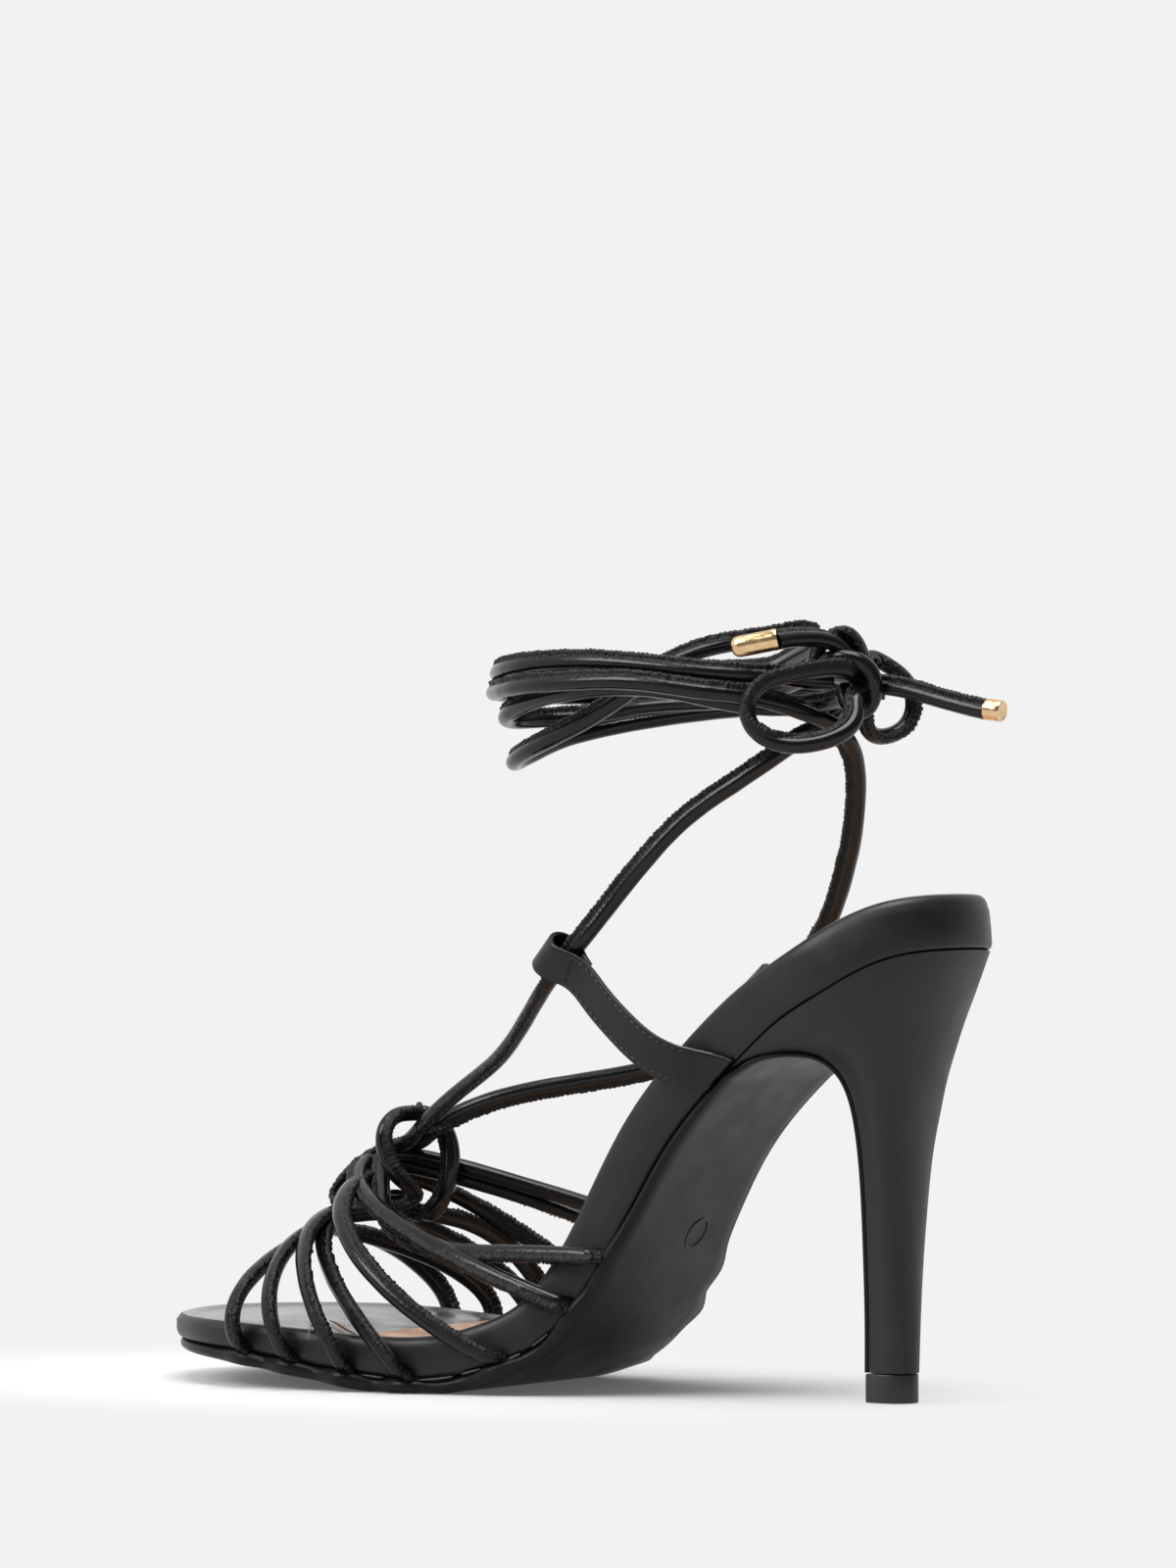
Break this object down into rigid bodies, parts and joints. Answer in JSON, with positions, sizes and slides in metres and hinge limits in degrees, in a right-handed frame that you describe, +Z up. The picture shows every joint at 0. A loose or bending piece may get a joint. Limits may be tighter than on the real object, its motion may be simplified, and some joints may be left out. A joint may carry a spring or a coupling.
{
  "type": "strappy high-heeled sandal",
  "caption": "Open-toe high-heeled sandal with rolled straps over the forefoot and a thin lace that runs through side loops, wraps the ankle and ties in a bow behind it.",
  "frame": {"origin": "on the floor, under the middle of the shoe's box without the bow and lace ends", "axes": "+Y from the toe to the heel, +X to the shoe's outer side, +Z up"},
  "size_m": [0.0866, 0.208, 0.1651],
  "materials": {
    "black_satin": "satin",
    "black_grained": "fine grain, satin",
    "black_strap": "smooth, slightly glossy",
    "black_rubber": "matt",
    "black_plastic": "satin",
    "beige_lining": "matt",
    "gold_metal": "polished"
  },
  "bodies": {
    "root": {"footbed": "black_satin", "outsole": "black_rubber", "sock_lining": "beige_lining", "heel": "black_grained", "top_piece": "black_plastic", "upper": "black_strap", "loop_strap_outer": "black_satin", "loop_strap_inner": "black_satin", "lace": "black_strap", "bow_knot": "black_strap", "bow_loop_outer": "black_strap", "bow_loop_inner": "black_strap", "lace_end_front": "black_strap", "lace_end_back": "black_strap", "lace_tip_front": "gold_metal", "lace_tip_back": "gold_metal"}
  },
  "joints": []
}
